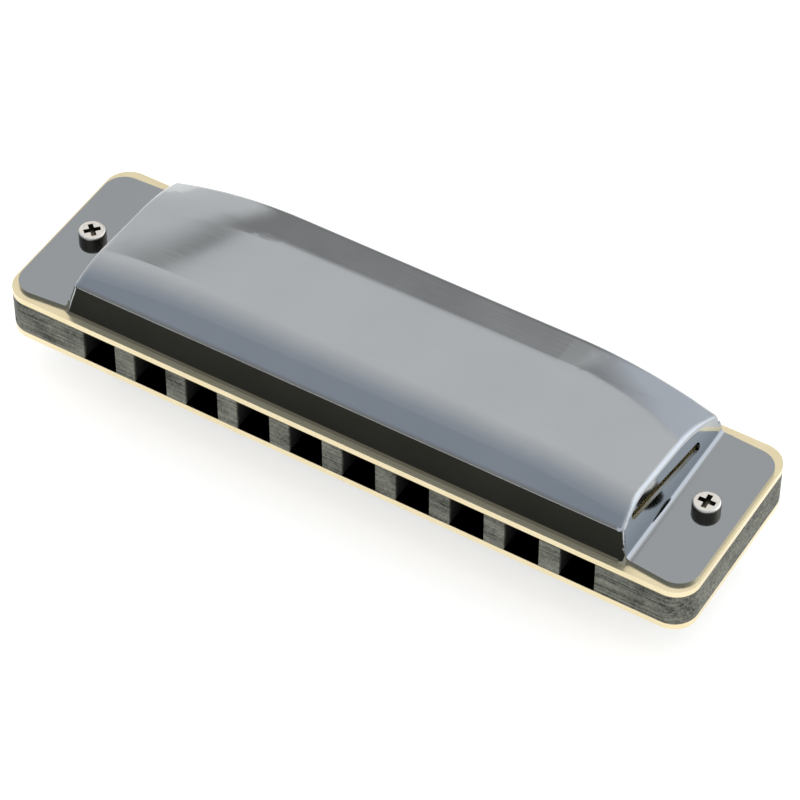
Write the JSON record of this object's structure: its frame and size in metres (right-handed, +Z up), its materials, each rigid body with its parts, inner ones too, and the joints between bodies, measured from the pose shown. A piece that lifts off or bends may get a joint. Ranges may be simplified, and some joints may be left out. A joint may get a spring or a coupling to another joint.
{
  "type": "ten-hole diatonic harmonica",
  "caption": "Flat mouth organ: dark comb with a row of mouth holes between brass reed plates, under pressed dark-metal covers that are open at the back, with a screw at each end.",
  "frame": {"origin": "under the middle of the harmonica, on the surface that it lies on", "axes": "+X along the row of holes from the low notes to the high notes, -Y the side that is blown into, +Z up"},
  "size_m": [0.102, 0.0278, 0.0214],
  "materials": {
    "cover_plating": "glossy black-nickel plate over pressed steel sheet",
    "plate_brass": "bright rolled brass",
    "reed_brass": "milled phosphor bronze and brass",
    "dyed_wood": "black-dyed laminated wood, sealed",
    "screw_nickel": "nickel plate"
  },
  "bodies": {
    "harp": {"comb": "dyed_wood", "upper_reed_plate": "plate_brass", "lower_reed_plate": "plate_brass", "upper_cover": "cover_plating", "lower_cover": "cover_plating", "blow_reed_pads": "reed_brass", "draw_reed_pads": "reed_brass", "blow_reed_rivets": "reed_brass", "draw_reed_rivets": "reed_brass", "cover_screws": "screw_nickel", "cover_nuts": "screw_nickel", "upper_plate_screws": "plate_brass", "lower_plate_screws": "plate_brass"},
    "blow_reed_01": {"blow_reed_01": "reed_brass"},
    "blow_reed_02": {"blow_reed_02": "reed_brass"},
    "blow_reed_03": {"blow_reed_03": "reed_brass"},
    "blow_reed_04": {"blow_reed_04": "reed_brass"},
    "blow_reed_05": {"blow_reed_05": "reed_brass"},
    "blow_reed_06": {"blow_reed_06": "reed_brass"},
    "blow_reed_07": {"blow_reed_07": "reed_brass"},
    "blow_reed_08": {"blow_reed_08": "reed_brass"},
    "blow_reed_09": {"blow_reed_09": "reed_brass"},
    "blow_reed_10": {"blow_reed_10": "reed_brass"},
    "draw_reed_01": {"draw_reed_01": "reed_brass"},
    "draw_reed_02": {"draw_reed_02": "reed_brass"},
    "draw_reed_03": {"draw_reed_03": "reed_brass"},
    "draw_reed_04": {"draw_reed_04": "reed_brass"},
    "draw_reed_05": {"draw_reed_05": "reed_brass"},
    "draw_reed_06": {"draw_reed_06": "reed_brass"},
    "draw_reed_07": {"draw_reed_07": "reed_brass"},
    "draw_reed_08": {"draw_reed_08": "reed_brass"},
    "draw_reed_09": {"draw_reed_09": "reed_brass"},
    "draw_reed_10": {"draw_reed_10": "reed_brass"}
  },
  "joints": [
    {"name": "blow_reed_01_swing", "type": "hinge", "parent": "harp", "child": "blow_reed_01", "pos_m": [-0.03573, -0.00675, 0.01305], "axis": [1, 0, 0], "range_deg": [-6, 6], "stiffness_Nm_per_rad": 0.0461},
    {"name": "blow_reed_02_swing", "type": "hinge", "parent": "harp", "child": "blow_reed_02", "pos_m": [-0.02779, -0.00675, 0.01305], "axis": [1, 0, 0], "range_deg": [-5.78, 5.78], "stiffness_Nm_per_rad": 0.0484},
    {"name": "blow_reed_03_swing", "type": "hinge", "parent": "harp", "child": "blow_reed_03", "pos_m": [-0.01985, -0.00675, 0.01305], "axis": [1, 0, 0], "range_deg": [-5.56, 5.56], "stiffness_Nm_per_rad": 0.0509},
    {"name": "blow_reed_04_swing", "type": "hinge", "parent": "harp", "child": "blow_reed_04", "pos_m": [-0.01191, -0.00675, 0.01305], "axis": [1, 0, 0], "range_deg": [-5.33, 5.33], "stiffness_Nm_per_rad": 0.0537},
    {"name": "blow_reed_05_swing", "type": "hinge", "parent": "harp", "child": "blow_reed_05", "pos_m": [-0.00397, -0.00675, 0.01305], "axis": [1, 0, 0], "range_deg": [-5.11, 5.11], "stiffness_Nm_per_rad": 0.0568},
    {"name": "blow_reed_06_swing", "type": "hinge", "parent": "harp", "child": "blow_reed_06", "pos_m": [0.00397, -0.00675, 0.01305], "axis": [1, 0, 0], "range_deg": [-4.89, 4.89], "stiffness_Nm_per_rad": 0.0603},
    {"name": "blow_reed_07_swing", "type": "hinge", "parent": "harp", "child": "blow_reed_07", "pos_m": [0.01191, -0.00675, 0.01305], "axis": [1, 0, 0], "range_deg": [-4.67, 4.67], "stiffness_Nm_per_rad": 0.0643},
    {"name": "blow_reed_08_swing", "type": "hinge", "parent": "harp", "child": "blow_reed_08", "pos_m": [0.01985, -0.00675, 0.01305], "axis": [1, 0, 0], "range_deg": [-4.44, 4.44], "stiffness_Nm_per_rad": 0.0688},
    {"name": "blow_reed_09_swing", "type": "hinge", "parent": "harp", "child": "blow_reed_09", "pos_m": [0.02779, -0.00675, 0.01305], "axis": [1, 0, 0], "range_deg": [-4.22, 4.22], "stiffness_Nm_per_rad": 0.074},
    {"name": "blow_reed_10_swing", "type": "hinge", "parent": "harp", "child": "blow_reed_10", "pos_m": [0.03573, -0.00675, 0.01305], "axis": [1, 0, 0], "range_deg": [-4, 4], "stiffness_Nm_per_rad": 0.08},
    {"name": "draw_reed_01_swing", "type": "hinge", "parent": "harp", "child": "draw_reed_01", "pos_m": [-0.03573, 0.00665, 0.00705], "axis": [-1, 0, 0], "range_deg": [-5.86, 5.86], "stiffness_Nm_per_rad": 0.0475},
    {"name": "draw_reed_02_swing", "type": "hinge", "parent": "harp", "child": "draw_reed_02", "pos_m": [-0.02779, 0.00587, 0.00705], "axis": [-1, 0, 0], "range_deg": [-5.63, 5.63], "stiffness_Nm_per_rad": 0.0499},
    {"name": "draw_reed_03_swing", "type": "hinge", "parent": "harp", "child": "draw_reed_03", "pos_m": [-0.01985, 0.00509, 0.00705], "axis": [-1, 0, 0], "range_deg": [-5.41, 5.41], "stiffness_Nm_per_rad": 0.0526},
    {"name": "draw_reed_04_swing", "type": "hinge", "parent": "harp", "child": "draw_reed_04", "pos_m": [-0.01191, 0.00432, 0.00705], "axis": [-1, 0, 0], "range_deg": [-5.19, 5.19], "stiffness_Nm_per_rad": 0.0556},
    {"name": "draw_reed_05_swing", "type": "hinge", "parent": "harp", "child": "draw_reed_05", "pos_m": [-0.00397, 0.00354, 0.00705], "axis": [-1, 0, 0], "range_deg": [-4.97, 4.97], "stiffness_Nm_per_rad": 0.059},
    {"name": "draw_reed_06_swing", "type": "hinge", "parent": "harp", "child": "draw_reed_06", "pos_m": [0.00397, 0.00276, 0.00705], "axis": [-1, 0, 0], "range_deg": [-4.75, 4.75], "stiffness_Nm_per_rad": 0.0628},
    {"name": "draw_reed_07_swing", "type": "hinge", "parent": "harp", "child": "draw_reed_07", "pos_m": [0.01191, 0.00198, 0.00705], "axis": [-1, 0, 0], "range_deg": [-4.52, 4.52], "stiffness_Nm_per_rad": 0.0671},
    {"name": "draw_reed_08_swing", "type": "hinge", "parent": "harp", "child": "draw_reed_08", "pos_m": [0.01985, 0.00121, 0.00705], "axis": [-1, 0, 0], "range_deg": [-4.3, 4.3], "stiffness_Nm_per_rad": 0.072},
    {"name": "draw_reed_09_swing", "type": "hinge", "parent": "harp", "child": "draw_reed_09", "pos_m": [0.02779, 0.00043, 0.00705], "axis": [-1, 0, 0], "range_deg": [-4.08, 4.08], "stiffness_Nm_per_rad": 0.0778},
    {"name": "draw_reed_10_swing", "type": "hinge", "parent": "harp", "child": "draw_reed_10", "pos_m": [0.03573, -0.00035, 0.00705], "axis": [-1, 0, 0], "range_deg": [-3.86, 3.86], "stiffness_Nm_per_rad": 0.0845}
  ]
}
